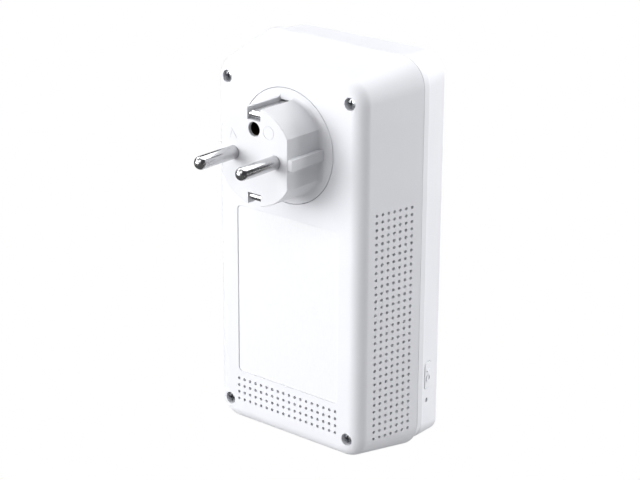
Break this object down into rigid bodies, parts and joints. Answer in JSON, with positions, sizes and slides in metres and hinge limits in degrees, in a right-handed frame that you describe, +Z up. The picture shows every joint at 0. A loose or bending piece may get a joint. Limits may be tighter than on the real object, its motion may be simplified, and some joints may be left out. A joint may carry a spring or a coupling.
{
  "type": "powerline adapter",
  "caption": "Wall-plug powerline network adapter: rounded two-shell case with an earthed round-pin plug on its back, network jacks below, a side button and a reset pinhole.",
  "frame": {"origin": "centre of the plug's end face, the flat face that the two pins stand on", "axes": "+Y along the pins into the wall socket, +Z up along the long side of the case, +X to the right seen from the room"},
  "size_m": [0.0786, 0.0818, 0.1484],
  "materials": {
    "case_white": "fine satin white, moulded",
    "plug_white": "satin white, moulded",
    "label": "blank white film",
    "nickel": "bright nickel plate",
    "steel": "dark zinc",
    "brass": "plain",
    "board": "green solder mask",
    "black_plastic": "moulded",
    "can": "tinned sheet",
    "aluminium": "as rolled",
    "insulation": "thin sheet",
    "ferrite": "ground ferrite",
    "winding": "yellow tape over copper",
    "choke": "enamelled copper on a ring",
    "capacitor_sleeve": "shrink sleeve",
    "film_capacitor": "epoxy box",
    "fuse": "ceramic tube",
    "varistor": "epoxy dip",
    "light_pipe": "frosted clear",
    "led": "clear top",
    "plunger": "moulded",
    "wire_brown": "sleeved wire",
    "wire_blue": "sleeved wire",
    "wire_green_yellow": "sleeved wire"
  },
  "bodies": {
    "case": {"back_shell": "case_white", "front_shell": "case_white", "plug_body": "plug_white", "plug_pin_left": "nickel", "plug_pin_right": "nickel", "earth_bracket": "nickel", "earth_sleeve": "brass", "case_screw_1": "steel", "case_screw_2": "steel", "case_screw_3": "steel", "case_screw_4": "steel", "main_board_screw_1": "steel", "main_board_screw_2": "steel", "main_board_screw_3": "steel", "main_board_screw_4": "steel", "power_board_screw_1": "steel", "power_board_screw_2": "steel", "rating_label": "label", "main_board": "board", "power_board": "board", "transformer_core": "ferrite", "transformer_winding": "winding", "bulk_capacitor": "capacitor_sleeve", "output_capacitor": "capacitor_sleeve", "x_capacitor": "film_capacitor", "line_choke": "choke", "line_fuse": "fuse", "varistor": "varistor", "bridge_rectifier": "black_plastic", "coupling_transformer": "black_plastic", "powerline_shield": "can", "radio_shield": "can", "network_chip": "black_plastic", "heat_spreader": "aluminium", "insulation_sheet": "insulation", "board_link": "black_plastic", "antenna_left": "board", "antenna_right": "board", "light_pipe_1": "light_pipe", "light_pipe_2": "light_pipe", "light_pipe_3": "light_pipe", "status_led_1": "led", "status_led_2": "led", "status_led_3": "led", "network_jack_1": "can", "network_jack_2": "can", "side_switch_body": "black_plastic", "reset_switch_body": "black_plastic", "live_wire": "wire_brown", "neutral_wire": "wire_blue", "earth_wire": "wire_green_yellow"},
    "side_button": {"side_button": "case_white"},
    "side_switch_plunger": {"side_switch_plunger": "plunger"},
    "reset_plunger": {"reset_plunger": "plunger"}
  },
  "joints": [
    {"name": "side_button_press", "type": "slide", "parent": "case", "child": "side_button", "axis": [1, 0, 0], "range_m": [0, 0.0006], "stiffness_N_per_m": 2300, "springref_m": -0.0003},
    {"name": "side_switch_press", "type": "slide", "parent": "case", "child": "side_switch_plunger", "axis": [1, 0, 0], "range_m": [0, 0.0006]},
    {"name": "reset_press", "type": "slide", "parent": "case", "child": "reset_plunger", "axis": [1, 0, 0], "range_m": [0, 0.0004], "stiffness_N_per_m": 2500, "springref_m": -0.0003}
  ],
  "couplings": [
    {"joint": "side_switch_press", "follows": "side_button_press", "ratio": 1}
  ]
}
